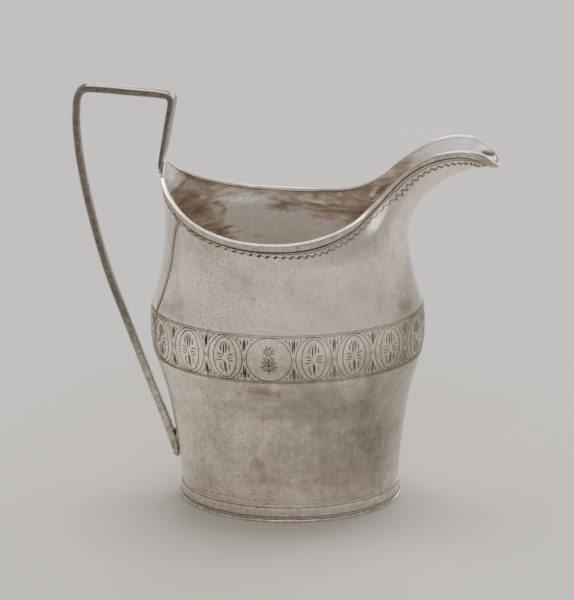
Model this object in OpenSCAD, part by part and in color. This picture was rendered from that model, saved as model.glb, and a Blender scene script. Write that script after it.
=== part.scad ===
// Oval cream jug of sheet silver with a strap handle. Millimetres, +Z up, spout toward +X,
// origin in the middle of the foot on the surface the jug stands on.

/* [Body] */
// Length of the oval body at its widest
belly_l = 82.6; // [70:0.2:100]
// Length of the oval foot
foot_l = 66.2; // [55:0.2:80]
// Length of the oval neck
neck_l = 73.2; // [60:0.2:90]
// Width of the oval as a share of its length
oval_ratio = 0.7; // [0.55:0.01:0.9]
// Height of the widest part
belly_h = 55.5; // [45:0.5:62]
// Height of the neck, where the lip starts to flare
neck_h = 82; // [76:0.5:86]
// Thickness of the silver sheet
wall = 0.7; // [0.5:0.05:1.2]

/* [Foot] */
// Thickness of the flat base plate
base_t = 0.9; // [0.7:0.05:1.5]
// Thickness of the solder seam above the base plate
seam_t = 0.2; // [0.1:0.05:0.4]
// Height of the top of the foot band
foot_band_h = 5.4; // [4:0.1:7]
// How far the foot band stands out from the body
foot_band_t = 0.45; // [0.3:0.05:0.8]

/* [Lip and spout] */
// Height of the lip at the sides of the mouth
side_lip_h = 89.7; // [88:0.1:94]
// Height of the lip at the handle
back_lip_h = 107; // [102:0.5:110]
// Height of the crest of the spout
crest_h = 112.4; // [106:0.2:118]
// Height of the tip of the spout
tip_h = 105.2; // [100:0.2:108]
// Reach of the spout from the middle of the foot
spout_reach = 63; // [56:0.2:70]
// Width of the spout
spout_w = 15; // [12:0.2:18]
// Width of the mouth at its widest
mouth_w = 50.8; // [46:0.2:56]
// Height of the strip round the lip
lip_strip_h = 2.4; // [1.6:0.1:3.2]
// How far the lip strip stands out from the body
lip_strip_t = 0.4; // [0.3:0.05:0.6]

/* [Handle] */
// Height of the top of the handle
handle_h = 130.8; // [124:0.2:138]
// Reach of the handle from the middle of the foot
handle_reach = 62.5; // [58:0.1:68]
// Thickness of the handle rod
rod_t = 2.3; // [1.8:0.1:2.6]
// Width of the handle rod
rod_w = 3; // [2:0.1:4]
// Width of the handle where it spreads out at the lip
root_w = 10; // [7:0.5:12]
// Turn of the strap above the lip, where it was twisted a little in bending
strap_turn = 6.5; // [0:0.5:12]
// Height of the lower end of the handle
tail_h = 12.6; // [10:0.1:16]

/* [Hidden] */

columns = 72;
foot_r = foot_l / 2;
belly_r = belly_l / 2;
neck_r = neck_l / 2;
body_foot_h = base_t + seam_t;
solder_t = 0.5;

// ---- smooth curves ----

function between(a, b, share) = a + (b - a) * share;

function hermite(p0, p1, m0, m1, u) =
    p0 * (2 * u^3 - 3 * u^2 + 1) + m0 * (u^3 - 2 * u^2 + u)
    + p1 * (3 * u^2 - 2 * u^3) + m1 * (u^3 - u^2);

// A curve is a list of [position along it, value]; the value is a number or a list.
function slope(curve, k) =
    let (a = max(k - 1, 0), b = min(k + 1, len(curve) - 1))
    (curve[b][1] - curve[a][1]) / (curve[b][0] - curve[a][0]);

function span_of(curve, x, k = 0) =
    k >= len(curve) - 2 || x < curve[k + 1][0] ? k : span_of(curve, x, k + 1);

function along(curve, x) =
    let (k = span_of(curve, x), h = curve[k + 1][0] - curve[k][0])
    hermite(curve[k][1], curve[k + 1][1], slope(curve, k) * h, slope(curve, k + 1) * h,
            (x - curve[k][0]) / h);

function unit(v) = v / norm(v);

// ---- the body's surface ----

// Half length of the oval at each height.
side_line = [
    [0, foot_r],
    [foot_band_h, foot_r],
    [between(foot_band_h, belly_h, 0.25), between(foot_r, belly_r, 0.15)],
    [between(foot_band_h, belly_h, 0.53), between(foot_r, belly_r, 0.4)],
    [between(foot_band_h, belly_h, 0.73), between(foot_r, belly_r, 0.7)],
    [between(foot_band_h, belly_h, 0.87), between(foot_r, belly_r, 0.93)],
    [belly_h, belly_r],
    [between(belly_h, neck_h, 0.25), between(belly_r, neck_r, 0.1)],
    [between(belly_h, neck_h, 0.47), between(belly_r, neck_r, 0.45)],
    [between(belly_h, neck_h, 0.74), between(belly_r, neck_r, 0.8)],
    [neck_h, neck_r],
    [neck_h + 5, neck_r]];

function oval_point(turn, h, out = 0) =
    let (r = along(side_line, h))
    [(r + out) * cos(turn), (r * oval_ratio + out) * sin(turn), h];

// Half of the lip, from the tip of the spout round to the handle: the turn round the neck,
// then the place of the lip and the way the wall leans there.
spout_r = spout_w / 2;
mouth_r = mouth_w / 2;
back_share = 0.99;
half_lip = [
    [0, [spout_reach, 0, tip_h, 0.97, 0, -0.22]],
    [6, [spout_reach - 0.6, 0.5 * spout_r, between(tip_h, crest_h, 0.24), 0.95, 0.1, 0.1]],
    [12, [spout_reach - 4, 0.92 * spout_r, between(tip_h, crest_h, 0.75), 0.83, 0.14, 0.46]],
    [19, [spout_reach - 10.5, spout_r, crest_h, 0.62, 0.1, 0.78]],
    [27, [spout_reach - 19, 0.97 * spout_r, between(side_lip_h, crest_h, 0.93), 0.52, 0.02, 0.85]],
    [36, [spout_reach - 27, 1.03 * spout_r, between(side_lip_h, crest_h, 0.72), 0.5, -0.03, 0.86]],
    [46, [spout_reach - 35, 0.41 * mouth_r, between(side_lip_h, crest_h, 0.38), 0.42, 0, 0.9]],
    [57, [0.56 * neck_r, 0.64 * mouth_r, between(side_lip_h, crest_h, 0.15), 0.25, 0.08, 0.95]],
    [72, [0.26 * neck_r, 0.89 * mouth_r, side_lip_h + 0.5, 0.08, 0.12, 1]],
    [88, [-0.07 * neck_r, mouth_r, side_lip_h, 0, 0.12, 1]],
    [106, [-0.42 * neck_r, 0.97 * mouth_r, between(side_lip_h, back_lip_h, 0.08), -0.02, 0.12, 1]],
    [124, [-0.71 * neck_r, 0.81 * mouth_r, between(side_lip_h, back_lip_h, 0.28), -0.04, 0.05, 1]],
    [143, [-0.9 * neck_r, 0.57 * mouth_r, between(side_lip_h, back_lip_h, 0.58), -0.05, 0.02, 1]],
    [162, [-0.984 * neck_r, 0.3 * mouth_r, between(side_lip_h, back_lip_h, 0.86), 0.02, 0, 1]],
    [180, [-back_share * neck_r, 0, back_lip_h, 0.03, 0, 1]]];

function across(v) = [v[0], -v[1], v[2], v[3], -v[4], v[5]];
last = len(half_lip) - 1;
lip = concat(
    [for (k = [last:-1:1]) [-half_lip[k][0], across(half_lip[k][1])]],
    half_lip,
    [[360 - half_lip[last - 1][0], across(half_lip[last - 1][1])]]);

// The wall above the neck is a smooth curve from the neck up to the lip.
function wall_point(turn, rise) =
    let (
        foot = oval_point(turn, neck_h),
        end = along(lip, turn),
        top = [end[0], end[1], end[2]],
        lean = unit([end[3], end[4], end[5]]),
        reach = norm(top - foot),
        low = foot + unit(foot - oval_point(turn, neck_h - 1)) * 0.4 * reach,
        high = top - lean * 0.36 * reach
    )
    foot * (1 - rise)^3 + low * 3 * (1 - rise)^2 * rise
    + high * 3 * (1 - rise) * rise^2 + top * rise^3;

// How far up the wall the lip strip starts.
function strip_start(turn) =
    let (end = along(lip, turn))
    1 - lip_strip_h / (1.08 * norm([end[0], end[1], end[2]] - oval_point(turn, neck_h)));

body_heights = [body_foot_h, foot_band_h, 10, 15, 20, 25, 30, 35, 40, 44, 48, 52, 56, 60, 64,
                68, 72, 77];
wall_rows = 8;
strip_rows = 2;
turns = [for (i = [0:columns - 1]) i * 360 / columns - 180];

body_grid = concat(
    [for (h = body_heights) [for (t = turns) oval_point(t, h)]],
    [for (j = [0:wall_rows]) [for (t = turns) wall_point(t, strip_start(t) * j / wall_rows)]],
    [for (j = [1:strip_rows])
        [for (t = turns) wall_point(t, between(strip_start(t), 1, j / strip_rows))]]);
lip_row = len(body_grid) - 1;
strip_row = lip_row - strip_rows;

// Way out of the surface at a crossing of the grid.
function outward(grid, j, i) =
    let (
        rows = len(grid),
        n = len(grid[0]),
        round_it = grid[j][(i + 1) % n] - grid[j][(i + n - 1) % n],
        up_it = grid[min(j + 1, rows - 1)][i] - grid[max(j - 1, 0)][i]
    )
    unit(cross(round_it, up_it));

function pushed_out(grid, j, distance) =
    [for (i = [0:len(grid[j]) - 1]) grid[j][i] + outward(grid, j, i) * distance];

// The inside of the foot stays level so that the body stands flat on its seam.
body_inside = [for (j = [0:lip_row])
    j == 0 ? [for (t = turns) oval_point(t, body_foot_h, -wall)] : pushed_out(body_grid, j, -wall)];

// ---- solids from grids of points ----

function quads(rows, n, first, flip) =
    [for (j = [0:rows - 2], i = [0:n - 1], half = [0, 1])
        let (
            a = first + j * n + i,
            b = first + j * n + (i + 1) % n,
            c = b + n,
            d = a + n
        )
        half == 0 ? (flip ? [a, b, c] : [a, c, b]) : (flip ? [a, c, d] : [a, d, c])];

function flat(grid) = [for (row = grid, p = row) p];

// A wall between an outer and an inner grid.
module tube(outer, inner) {
    rows = len(outer);
    n = len(outer[0]);
    inner_first = rows * n;
    ends = [for (i = [0:n - 1])
        let (k = (i + 1) % n, top = (rows - 1) * n)
        each [
            [i, k, inner_first + i], [k, inner_first + k, inner_first + i],
            [top + i, inner_first + top + i, top + k],
            [top + k, inner_first + top + i, inner_first + top + k]]];
    polyhedron(concat(flat(outer), flat(inner)),
               concat(quads(rows, n, 0, false), quads(rows, n, inner_first, true), ends),
               convexity = 10);
}

// A solid inside one grid, its two ends closed to a point in the middle.
module plug(grid) {
    rows = len(grid);
    n = len(grid[0]);
    low = rows * n;
    high = low + 1;
    middles = [
        [for (axis = [0:2]) [for (p = grid[0]) p[axis]] * [for (p = grid[0]) 1] / n],
        [for (axis = [0:2]) [for (p = grid[rows - 1]) p[axis]] * [for (p = grid[0]) 1] / n]];
    ends = [for (i = [0:n - 1])
        let (k = (i + 1) % n, top = (rows - 1) * n)
        each [[i, k, low], [top + k, top + i, high]]];
    polyhedron(concat(flat(grid), middles), concat(quads(rows, n, 0, false), ends), convexity = 10);
}

module oval_disc(h, out, low = 0) {
    translate([0, 0, low])
        linear_extrude(h)
            polygon([for (t = turns) [for (axis = [0, 1]) oval_point(t, 0, out)[axis]]]);
}

// ---- body and foot ----

module body() {
    color("silver") tube(body_grid, body_inside);
}

module base_plate() {
    color("lightgray") oval_disc(base_t, foot_band_t);
}

module base_seam() {
    color("peru")
        difference() {
            oval_disc(seam_t, foot_band_t - 0.1, base_t);
            oval_disc(3 * seam_t, -wall - 0.3, base_t - seam_t);
        }
}

module foot_band() {
    color("gainsboro")
        difference() {
            oval_disc(foot_band_h - body_foot_h, foot_band_t, body_foot_h);
            oval_disc(foot_band_h, 0, body_foot_h / 2);
        }
}

// ---- lip strip ----

strip_inner = [for (j = [strip_row:lip_row]) body_grid[j]];
strip_outer = [
    pushed_out(body_grid, strip_row, 0.7 * lip_strip_t),
    pushed_out(body_grid, strip_row + 1, 1.15 * lip_strip_t),
    pushed_out(body_grid, lip_row, 0.9 * lip_strip_t)];

module lip_strip() {
    color("whitesmoke") tube(strip_outer, strip_inner);
}

// What the two ends of the handle are fitted against: the body under its lower end, and the
// lip with its strip at the upper end.
tail_row = 8;
module fitted_body() {
    plug([for (j = [0:tail_row]) body_grid[j]]);
    plug(concat([for (j = [strip_row - 3:strip_row]) body_grid[j]], strip_outer));
}

// ---- handle ----

// The handle's middle line in the plane y = 0, from its lower end up and over to the lip:
// x, height, width, thickness and turn.
back_x = -back_share * neck_r - 1.15 * lip_strip_t;
tail_x = -along(side_line, tail_h);
bar_h = handle_h - rod_t / 2;
out_x = -handle_reach + rod_t / 2;
handle_line = [
    [tail_x - 0.8, tail_h, 1.2 * rod_w, 0.7 * rod_t, 0],
    [tail_x - 2.2, tail_h + 6, 1.15 * rod_w, rod_t, 0],
    [tail_x - 4, tail_h + 12, 1.1 * rod_w, rod_t, 0],
    [between(tail_x, out_x, 0.26), between(tail_h, bar_h, 0.18), rod_w, rod_t, 0],
    [between(tail_x, out_x, 0.5), between(tail_h, bar_h, 0.35), rod_w, rod_t, 0],
    [between(tail_x, out_x, 0.72), between(tail_h, bar_h, 0.51), rod_w, rod_t, 0],
    [between(tail_x, out_x, 0.88), between(tail_h, bar_h, 0.67), rod_w, rod_t, 0],
    [between(tail_x, out_x, 0.97), between(tail_h, bar_h, 0.8), rod_w, rod_t, 0],
    [out_x, between(tail_h, bar_h, 0.89), rod_w, rod_t, 0],
    [out_x + 0.15, bar_h - 6.5, rod_w, rod_t, 0],
    [out_x + 0.75, bar_h - 2.6, rod_w, rod_t, 0],
    [out_x + 2.4, bar_h - 0.4, rod_w, rod_t, 0],
    [out_x + 5.5, bar_h, rod_w, rod_t, 0],
    [between(out_x, back_x, 0.62), bar_h - 0.8, 1.15 * rod_w, rod_t, 0],
    [back_x - 0.2, bar_h - 1.6, 1.3 * rod_w, 0.97 * rod_t, 0.2 * strap_turn],
    [back_x + 2.85, bar_h - 2.2, 1.55 * rod_w, 0.93 * rod_t, 0.7 * strap_turn],
    [back_x + 3.8, bar_h - 3.6, between(rod_w, root_w, 0.4), 0.86 * rod_t, strap_turn],
    [back_x + 3.65, bar_h - 5.5, between(rod_w, root_w, 0.47), 0.81 * rod_t, strap_turn],
    [back_x + 3.05, between(back_lip_h, bar_h, 0.62), between(rod_w, root_w, 0.6), 0.76 * rod_t,
        strap_turn],
    [back_x + 1.6, back_lip_h + 4.5, between(rod_w, root_w, 0.8), 0.52 * rod_t,
        0.9 * strap_turn],
    [back_x + 0.1, back_lip_h + 0.6, root_w, 0.34 * rod_t, 0.6 * strap_turn],
    [back_x, back_lip_h - 1.4, root_w, 0.28 * rod_t, 0.4 * strap_turn]];
steps_between = 4;

handle_curve = [for (k = [0:len(handle_line) - 1]) [k, handle_line[k]]];
handle_stations = [for (k = [0:1 / steps_between:len(handle_line) - 1]) along(handle_curve, k)];

// Corners of the rod's rounded section, as shares of half its width and half its thickness.
section = [for (corner = [[1, 1], [-1, 1], [-1, -1], [1, -1]])
    each corner[0] * corner[1] > 0
        ? [[corner[0], corner[1] * 0.55], [corner[0] * 0.86, corner[1] * 0.86],
           [corner[0] * 0.55, corner[1]]]
        : [[corner[0] * 0.55, corner[1]], [corner[0] * 0.86, corner[1] * 0.86],
           [corner[0], corner[1] * 0.55]]];

function handle_ring(k) =
    let (
        s = handle_stations[k],
        a = handle_stations[max(k - 1, 0)],
        b = handle_stations[min(k + 1, len(handle_stations) - 1)],
        way = unit([b[0] - a[0], b[1] - a[1]]),
        c = cos(s[4]),
        d = sin(s[4])
    )
    [for (corner = section)
        let (
            wide = corner[0] * s[2] / 2,
            deep = corner[1] * s[3] / 2,
            side = c * wide - d * deep,
            back = c * deep + d * wide
        )
        [s[0] - way[1] * back, side, s[1] + way[0] * back]];

module handle_rod() {
    plug([for (k = [0:len(handle_stations) - 1]) handle_ring(k)]);
}

module handle() {
    color("darkgray")
        difference() {
            handle_rod();
            fitted_body();
        }
}

// ---- solder at the two ends of the handle ----

module upper_solder() {
    color("dimgray")
        difference() {
            hull()
                for (side = [-1, 1])
                    translate([back_x - 0.05, side * (root_w / 2 - 1.2), back_lip_h - 2.3])
                        rotate([0, 90, 0])
                            cylinder(h = 2 * solder_t, r = 0.9, center = true, $fn = 24);
            handle_rod();
            fitted_body();
        }
}

module lower_solder() {
    color("dimgray")
        difference() {
            hull()
                for (end = [[tail_h + 0.3, 1.9], [tail_h + 8, 1.7]])
                    translate([-along(side_line, end[0]), 0, end[0]])
                        rotate([0, 90, 0])
                            cylinder(h = 2 * solder_t, r = end[1], center = true, $fn = 24);
            handle_rod();
            fitted_body();
        }
}

body();
base_plate();
base_seam();
foot_band();
lip_strip();
handle();
upper_solder();
lower_solder();
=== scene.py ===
"""An oval cream jug of old sheet silver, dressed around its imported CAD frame."""
import math

import bpy
import numpy as np
from mathutils import Matrix, Vector


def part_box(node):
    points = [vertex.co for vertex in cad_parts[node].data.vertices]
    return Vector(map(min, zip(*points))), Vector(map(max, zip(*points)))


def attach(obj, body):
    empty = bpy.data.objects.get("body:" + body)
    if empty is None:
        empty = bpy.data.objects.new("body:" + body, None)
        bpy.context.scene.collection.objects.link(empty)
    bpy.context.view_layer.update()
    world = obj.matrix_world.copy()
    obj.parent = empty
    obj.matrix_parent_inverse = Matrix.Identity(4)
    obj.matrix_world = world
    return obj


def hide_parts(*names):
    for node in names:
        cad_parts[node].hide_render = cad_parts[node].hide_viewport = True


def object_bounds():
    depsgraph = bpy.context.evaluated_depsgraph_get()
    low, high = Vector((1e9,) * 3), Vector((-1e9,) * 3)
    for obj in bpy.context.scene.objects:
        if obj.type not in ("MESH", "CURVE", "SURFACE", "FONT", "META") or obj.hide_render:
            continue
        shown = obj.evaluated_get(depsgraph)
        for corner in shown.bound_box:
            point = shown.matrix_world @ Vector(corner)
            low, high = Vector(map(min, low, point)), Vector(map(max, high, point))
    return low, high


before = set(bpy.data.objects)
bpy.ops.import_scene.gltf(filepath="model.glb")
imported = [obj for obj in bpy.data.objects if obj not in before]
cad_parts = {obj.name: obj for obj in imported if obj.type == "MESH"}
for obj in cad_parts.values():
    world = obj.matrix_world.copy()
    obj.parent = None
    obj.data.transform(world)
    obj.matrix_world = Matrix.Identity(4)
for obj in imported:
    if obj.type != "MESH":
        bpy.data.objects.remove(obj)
cad_low, cad_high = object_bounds()

MM = 0.001


# ---- driving dimensions, in millimetres, as in the CAD part ----

def box_mm(node):
    low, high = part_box(node)
    return np.array(low) / MM, np.array(high) / MM


body_low, body_high = box_mm("body")
plate_high = box_mm("base_plate")[1]
band_high = box_mm("foot_band")[1]
handle_low, handle_high = box_mm("handle")

belly_r = -body_low[0]
oval_ratio = body_high[1] / belly_r
foot_band_t = 0.45
foot_r = plate_high[0] - foot_band_t
neck_r = 0.886 * belly_r
base_t = plate_high[2]
body_foot_h = body_low[2]
foot_band_h = band_high[2]
belly_h = 55.5
neck_h = 82.0
wall = 0.7
side_lip_h = 89.7
back_lip_h = 107.0
crest_h = 112.4
tip_h = 105.2
spout_reach = 63.0
spout_r = 7.5
mouth_r = 25.4
back_share = 0.99
lip_strip_h = 2.4
lip_strip_t = 0.4
handle_h = handle_high[2]
handle_reach = -handle_low[0]
rod_t = 2.3
rod_w = 3.0
root_w = 10.0
strap_turn = 6.5
tail_h = 12.6

# How far the wall lies under the CAD surface, so that the burrs of the engraving reach it.
burr = 0.11


# ---- smooth curves ----

def between(a, b, share):
    return a + (b - a) * share


class Curve:
    """A smooth curve through values at their stations."""

    def __init__(self, rows):
        self.at = np.array([row[0] for row in rows], float)
        self.values = np.array([np.atleast_1d(row[1]) for row in rows], float)
        last = len(self.at) - 1
        before = np.maximum(np.arange(last + 1) - 1, 0)
        after = np.minimum(np.arange(last + 1) + 1, last)
        run = (self.at[after] - self.at[before])[:, None]
        self.slopes = (self.values[after] - self.values[before]) / run

    def __call__(self, x):
        x = np.asarray(x, float)
        k = np.clip(np.searchsorted(self.at, x, side="right") - 1, 0, len(self.at) - 2)
        h = (self.at[k + 1] - self.at[k])[..., None]
        u = (x - self.at[k])[..., None] / h
        start = self.values[k] * (2 * u**3 - 3 * u**2 + 1) + self.slopes[k] * h * (u**3 - 2 * u**2 + u)
        end = self.values[k + 1] * (3 * u**2 - 2 * u**3) + self.slopes[k + 1] * h * (u**3 - u**2)
        return start + end


def unit(v):
    return v / np.linalg.norm(v, axis=-1, keepdims=True)


# ---- the body's surface ----

# The side below the neck: height, then half the oval's length there.
side_line = Curve([
    [0, foot_r],
    [foot_band_h, foot_r],
    [between(foot_band_h, belly_h, 0.25), between(foot_r, belly_r, 0.15)],
    [between(foot_band_h, belly_h, 0.53), between(foot_r, belly_r, 0.4)],
    [between(foot_band_h, belly_h, 0.73), between(foot_r, belly_r, 0.7)],
    [between(foot_band_h, belly_h, 0.87), between(foot_r, belly_r, 0.93)],
    [belly_h, belly_r],
    [between(belly_h, neck_h, 0.25), between(belly_r, neck_r, 0.1)],
    [between(belly_h, neck_h, 0.47), between(belly_r, neck_r, 0.45)],
    [between(belly_h, neck_h, 0.74), between(belly_r, neck_r, 0.8)],
    [neck_h, neck_r],
    [neck_h + 5, neck_r]])

# Half the lip, from the spout's tip round to the handle. At each turn, in degrees: x, y, height,
# then the way in which the wall runs up into it.
half_lip = [
    [0, [spout_reach, 0, tip_h, 0.97, 0, -0.22]],
    [6, [spout_reach - 0.6, 0.5 * spout_r, between(tip_h, crest_h, 0.24), 0.95, 0.1, 0.1]],
    [12, [spout_reach - 4, 0.92 * spout_r, between(tip_h, crest_h, 0.75), 0.83, 0.14, 0.46]],
    [19, [spout_reach - 10.5, spout_r, crest_h, 0.62, 0.1, 0.78]],
    [27, [spout_reach - 19, 0.97 * spout_r, between(side_lip_h, crest_h, 0.93), 0.52, 0.02, 0.85]],
    [36, [spout_reach - 27, 1.03 * spout_r, between(side_lip_h, crest_h, 0.72), 0.5, -0.03, 0.86]],
    [46, [spout_reach - 35, 0.41 * mouth_r, between(side_lip_h, crest_h, 0.38), 0.42, 0, 0.9]],
    [57, [0.56 * neck_r, 0.64 * mouth_r, between(side_lip_h, crest_h, 0.15), 0.25, 0.08, 0.95]],
    [72, [0.26 * neck_r, 0.89 * mouth_r, side_lip_h + 0.5, 0.08, 0.12, 1]],
    [88, [-0.07 * neck_r, mouth_r, side_lip_h, 0, 0.12, 1]],
    [106, [-0.42 * neck_r, 0.97 * mouth_r, between(side_lip_h, back_lip_h, 0.08), -0.02, 0.12, 1]],
    [124, [-0.71 * neck_r, 0.81 * mouth_r, between(side_lip_h, back_lip_h, 0.28), -0.04, 0.05, 1]],
    [143, [-0.9 * neck_r, 0.57 * mouth_r, between(side_lip_h, back_lip_h, 0.58), -0.05, 0.02, 1]],
    [162, [-0.984 * neck_r, 0.3 * mouth_r, between(side_lip_h, back_lip_h, 0.86), 0.02, 0, 1]],
    [180, [-back_share * neck_r, 0, back_lip_h, 0.03, 0, 1]]]


def across(row):
    """The lip's place on the other side of the jug."""
    x, y, z, dx, dy, dz = row[1]
    return [x, -y, z, dx, -dy, dz]


lip_line = Curve(
    [[-row[0], across(row)] for row in half_lip[:0:-1]]
    + half_lip
    + [[360 - half_lip[-2][0], across(half_lip[-2])]])


def oval_point(turn, height, out=0.0):
    """A place on the oval body below the neck, or outside it by out."""
    angle = np.radians(turn)
    r = side_line(height)[..., 0]
    x = (r + out) * np.cos(angle)
    y = (r * oval_ratio + out) * np.sin(angle)
    return np.stack(np.broadcast_arrays(x, y, height), -1)


def foot_point(turn, height, out):
    """A place by the upright foot, out from the oval on which the body stands."""
    place = oval_point(turn, 0 * height, out)
    place[..., 2] = height
    return place


def wall_point(turn, rise):
    """The wall above the neck, a smooth curve from the neck up to the lip."""
    neck_pull, lip_pull = 0.4, 0.36
    rise = np.asarray(rise, float)[..., None]
    foot = oval_point(turn, neck_h)
    below = oval_point(turn, neck_h - 1)
    end = lip_line(turn)
    top = end[..., :3]
    lean = unit(end[..., 3:])
    reach = np.linalg.norm(top - foot, axis=-1, keepdims=True)
    low = foot + unit(foot - below) * neck_pull * reach
    high = top - lean * lip_pull * reach
    return (foot * (1 - rise)**3 + low * 3 * (1 - rise)**2 * rise
            + high * 3 * (1 - rise) * rise**2 + top * rise**3)


def wall_length(turn):
    """How long the wall is from the neck up to the lip, a little more than straight across."""
    bulge = 1.08
    return bulge * np.linalg.norm(lip_line(turn)[:, :3] - oval_point(turn, neck_h), axis=-1)


def skin(turn, level):
    """A place on the body: level 0 is its foot, 1 the neck and 2 the lip."""
    turn, level = np.broadcast_arrays(np.asarray(turn, float), np.asarray(level, float))
    under = oval_point(turn, between(body_foot_h, neck_h, np.clip(level, 0, 1)))
    over = wall_point(turn, np.clip(level - 1, 0, 1))
    return np.where((level < 1)[..., None], under, over)


def skin_normal(turn, level):
    """The way out of the body, square to its surface."""
    turn_step, level_step = 0.4, 0.004
    low = np.clip(np.asarray(level, float) - level_step, 0, 2)
    high = np.clip(np.asarray(level, float) + level_step, 0, 2)
    round_it = skin(np.asarray(turn) + turn_step, level) - skin(np.asarray(turn) - turn_step, level)
    up_it = skin(turn, high) - skin(turn, low)
    return unit(np.cross(round_it, up_it))


def height_level(height):
    """The level of a height between the foot and the neck."""
    return (np.asarray(height, float) - body_foot_h) / (neck_h - body_foot_h)


def unevenness(p):
    """How far hand raising left the sheet off its true shape, 0 to 1."""
    x, y, z = p[..., 0], p[..., 1], p[..., 2]
    waves = (np.sin(0.21 * x + 0.13 * z + 1.7 * np.sin(0.11 * z))
             + np.sin(0.17 * z - 0.25 * y + 0.6)
             + np.sin(0.33 * x - 0.29 * z + 2.1)
             + np.sin(0.41 * y + 0.37 * z + 4.0))
    return 0.5 - waves / 8


def hammering(p):
    """Marks of the raising hammer left on the inside, 0 to 1."""
    x, y, z = p[..., 0], p[..., 1], p[..., 2]
    waves = (np.sin(0.55 * x + 0.2 * z + 1.5 * np.sin(0.23 * z))
             + np.sin(0.62 * z - 0.3 * y + 1.2 * np.sin(0.19 * x))
             + np.sin(0.47 * x - 0.66 * z + 0.8)
             + np.sin(0.9 * z + 0.31 * x + 2.0 * np.sin(0.13 * x)))
    return 0.5 - waves / 8


# ---- meshes ----

def faces_between(rings, n, first=0, closed=False):
    """Four-sided faces between rings of n points each, one ring after another."""
    made = []
    for j in range(rings if closed else rings - 1):
        a = first + j * n
        b = first + ((j + 1) % rings) * n
        made += [(a + i, a + (i + 1) % n, b + (i + 1) % n, b + i) for i in range(n)]
    return made


def make_piece(name, points, faces, material, slot, nodes=(), values=None, smooth=True):
    """A mesh of the jug, kept within the CAD part's outermost planes."""
    mesh = bpy.data.meshes.new(name)
    mesh.from_pydata(np.clip(np.asarray(points) * MM, cad_low, cad_high).tolist(), [], faces)
    mesh.validate()
    mesh.polygons.foreach_set("use_smooth", [smooth] * len(mesh.polygons))
    for key, numbers in (values or {}).items():
        mesh.attributes.new(key, "FLOAT", "POINT").data.foreach_set("value", numbers)
    mesh.materials.append(material)
    piece = bpy.data.objects.new(name, mesh)
    bpy.context.scene.collection.objects.link(piece)
    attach(piece, "root")
    if nodes:
        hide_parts(*nodes)
    return piece


def ring_piece(name, rings, material, **details):
    """A closed hoop: rings of points going once round its section."""
    m, n = rings.shape[:2]
    return make_piece(name, rings.reshape(-1, 3), faces_between(m, n, closed=True), material, **details)


def rod_piece(name, rings, material, **details):
    """A rod or plate: rings of points with a flat cap at each end."""
    m, n = rings.shape[:2]
    faces = faces_between(m, n)
    faces.append(tuple(range(n - 1, -1, -1)))
    faces.append(tuple(range((m - 1) * n, m * n)))
    return make_piece(name, rings.reshape(-1, 3), faces, material, **details)


# ---- materials ----

class Look:
    """A node material, put together one node at a time."""

    def __init__(self, name):
        self.material = bpy.data.materials.new(name)
        self.material.use_nodes = True
        self.tree = self.material.node_tree
        self.shader = self.tree.nodes["Principled BSDF"]

    def node(self, kind, settings=None, **inputs):
        """A new node. An input is given by its name, or by its number after an i."""
        made = self.tree.nodes.new(kind)
        for key, value in (settings or {}).items():
            setattr(made, key, value)
        for key, value in inputs.items():
            numbered = key[0] == "i" and key[1:].isdigit()
            self.feed(made.inputs[int(key[1:]) if numbered else key], value)
        return made

    def feed(self, socket, value):
        if isinstance(value, bpy.types.NodeSocket):
            self.tree.links.new(value, socket)
        else:
            socket.default_value = value

    def place(self):
        return self.node("ShaderNodeTexCoord").outputs["Object"]

    def value(self, name):
        """One of the values that a piece's points carry."""
        return self.node("ShaderNodeAttribute", {"attribute_name": name}).outputs["Fac"]

    def stretched(self, x, y, z):
        """Places drawn out along the axes, for streaks."""
        made = self.node("ShaderNodeMapping")
        self.feed(made.inputs["Vector"], self.place())
        made.inputs["Scale"].default_value = (1 / x, 1 / y, 1 / z)
        return made.outputs["Vector"]

    def noise(self, size_mm, detail=4.0, rough=0.55, where=None, warp=0.0):
        made = self.node("ShaderNodeTexNoise", Scale=1 / (size_mm * MM), Detail=detail,
                         Roughness=rough, Distortion=warp)
        self.feed(made.inputs["Vector"], where or self.place())
        return made.outputs["Fac"]

    def ramp(self, fac, stops):
        """Colours along a value. A new ramp has its two ends, which the first and the last stop take."""
        made = self.node("ShaderNodeValToRGB")
        elements = made.color_ramp.elements
        for k, (at, colour) in enumerate([stops[0], stops[-1]] + stops[1:-1]):
            stop = elements[k] if k < 2 else elements.new(at)
            stop.position = at
            stop.color = (*colour, 1)
        self.feed(made.inputs["Fac"], fac)
        return made.outputs["Color"]

    def grade(self, fac, low, high, start=0.0, end=1.0):
        """A value that runs from start to end as fac runs from low to high."""
        made = self.node("ShaderNodeMapRange", {"clamp": True}, i1=low, i2=high, i3=start, i4=end)
        self.feed(made.inputs[0], fac)
        return made.outputs[0]

    def maths(self, operation, a, b=0.0):
        made = self.node("ShaderNodeMath", {"operation": operation})
        self.feed(made.inputs[0], a)
        self.feed(made.inputs[1], b)
        return made.outputs[0]

    def mix(self, fac, a, b, blend="MIX"):
        made = self.node("ShaderNodeMix", {"data_type": "RGBA", "blend_type": blend})
        self.feed(made.inputs["Factor"], fac)
        for socket, value in ((made.inputs[6], a), (made.inputs[7], b)):
            self.feed(socket, (*value, 1) if isinstance(value, tuple) and len(value) == 3 else value)
        return made.outputs[2]

    def bump(self, height, distance_mm, strength):
        made = self.node("ShaderNodeBump", Strength=strength, Distance=distance_mm * MM)
        self.feed(made.inputs["Height"], height)
        return made.outputs["Normal"]

    def done(self, **inputs):
        for key, value in inputs.items():
            self.feed(self.shader.inputs[key.replace("_", " ")], value)
        return self.material


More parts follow.
